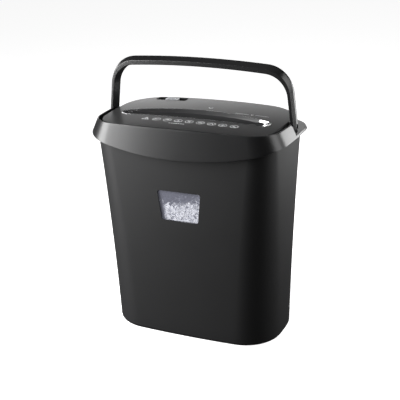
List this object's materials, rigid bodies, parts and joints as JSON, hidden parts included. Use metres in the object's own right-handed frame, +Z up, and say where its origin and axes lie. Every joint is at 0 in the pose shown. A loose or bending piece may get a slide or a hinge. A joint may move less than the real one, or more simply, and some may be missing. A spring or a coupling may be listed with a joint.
{
  "type": "paper shredder",
  "caption": "Upright office paper shredder: oval black waste bin with a clear window, lift-off cutting head with a feed slot, and a folding bail handle.",
  "frame": {"origin": "under the middle of the bin, on the surface it stands on", "axes": "+Z up, front with the window towards -Y, +X to the right seen from the front"},
  "size_m": [0.355, 0.214, 0.4815],
  "materials": {
    "bin_plastic": "satin",
    "head_plastic": "satin",
    "handle_plastic": "satin",
    "window_plastic": "gloss",
    "paper_shreds": "matte",
    "bezel_chrome": "polished",
    "inner_plastic": "matte",
    "steel": "satin",
    "cutter_steel": "satin",
    "plated_steel": "satin",
    "bush_brass": "satin",
    "gear_nylon": "satin",
    "gear_steel": "satin",
    "lamination_steel": "satin",
    "coil_copper": "gloss",
    "fan_plastic": "satin",
    "board_laminate": "satin",
    "relay_case": "satin",
    "capacitor_case": "satin",
    "terminal_green": "satin",
    "gland_rubber": "matte",
    "switch_plastic": "satin",
    "slider_silver": "satin"
  },
  "bodies": {
    "bin": {"bin_shell": "bin_plastic", "window_pane": "window_plastic", "shred_heap": "paper_shreds"},
    "head": {"head_band": "head_plastic", "deck_cover": "head_plastic", "throat_bezel": "bezel_chrome", "feed_throat": "inner_plastic", "lower_housing": "inner_plastic", "housing_screws": "plated_steel", "cord_gland": "gland_rubber", "handle_pins": "steel", "side_plate_left": "plated_steel", "side_plate_right": "plated_steel", "tie_rods": "steel", "tie_rod_nuts": "plated_steel", "shaft_bushes": "bush_brass", "idler_axle": "steel", "motor_stator": "lamination_steel", "field_coils": "coil_copper", "motor_bracket_drive": "plated_steel", "motor_bracket_rear": "plated_steel", "motor_standoffs": "steel", "motor_bolts": "plated_steel", "brush_holders": "bush_brass", "control_board": "board_laminate", "board_posts": "inner_plastic", "relay_pair": "relay_case", "film_capacitor": "capacitor_case", "terminal_block": "terminal_green", "thermal_cutout": "switch_plastic", "interlock_switch": "switch_plastic", "mode_switch_base": "switch_plastic", "mode_switch_body": "switch_plastic", "sensor_bracket": "inner_plastic", "sensor_eye": "switch_plastic", "stripper_front": "inner_plastic", "stripper_rear": "inner_plastic"},
    "handle": {"handle_arch": "handle_plastic"},
    "cutter_front": {"cutter_shaft_front": "steel", "cutter_discs_front": "cutter_steel", "cutter_spacers_front": "gear_nylon", "cutter_gear_front": "gear_steel", "circlip_front": "steel"},
    "cutter_rear": {"cutter_shaft_rear": "steel", "cutter_discs_rear": "cutter_steel", "cutter_spacers_rear": "gear_nylon", "cutter_gear_rear": "gear_steel", "circlip_rear": "steel", "drive_gear": "gear_steel"},
    "idler": {"idler_gear": "gear_nylon"},
    "armature": {"armature_core": "lamination_steel", "armature_shaft": "steel", "commutator": "coil_copper", "motor_fan": "fan_plastic", "motor_pinion": "gear_steel"},
    "mode_knob": {"mode_slider": "slider_silver"},
    "flap": {"paper_flap": "inner_plastic"},
    "plunger": {"interlock_plunger": "slider_silver"}
  },
  "joints": [
    {"name": "head_lift", "type": "slide", "parent": "bin", "child": "head", "axis": [0, 0, 1], "range_m": [0, 0.12]},
    {"name": "handle_swing", "type": "hinge", "parent": "head", "child": "handle", "pos_m": [0, 0.008, 0.378], "axis": [1, 0, 0], "range_deg": [-90, 0]},
    {"name": "cutter_rear_spin", "type": "hinge", "parent": "head", "child": "cutter_rear", "pos_m": [0, -0.012, 0.33], "axis": [1, 0, 0], "continuous": true},
    {"name": "cutter_front_spin", "type": "hinge", "parent": "head", "child": "cutter_front", "pos_m": [0, -0.044, 0.33], "axis": [1, 0, 0], "continuous": true},
    {"name": "idler_spin", "type": "hinge", "parent": "head", "child": "idler", "pos_m": [0, 0.02025, 0.33569], "axis": [1, 0, 0], "continuous": true},
    {"name": "armature_spin", "type": "hinge", "parent": "head", "child": "armature", "pos_m": [0, 0.04542, 0.32286], "axis": [1, 0, 0], "continuous": true},
    {"name": "mode_slide", "type": "slide", "parent": "head", "child": "mode_knob", "axis": [1, 0, 0], "range_m": [-0.014, 0.014]},
    {"name": "flap_swing", "type": "hinge", "parent": "head", "child": "flap", "pos_m": [0, -0.014, 0.364], "axis": [1, 0, 0], "range_deg": [0, 38], "stiffness_Nm_per_rad": 0.002, "springref_deg": -5.73},
    {"name": "plunger_press", "type": "slide", "parent": "head", "child": "plunger", "axis": [0, 0, 1], "range_m": [0, 0.003], "stiffness_N_per_m": 150, "springref_m": -0.001}
  ],
  "couplings": [
    {"joint": "cutter_front_spin", "follows": "cutter_rear_spin", "ratio": -1},
    {"joint": "idler_spin", "follows": "cutter_rear_spin", "ratio": -3.3333},
    {"joint": "armature_spin", "follows": "cutter_rear_spin", "ratio": 12.222}
  ]
}
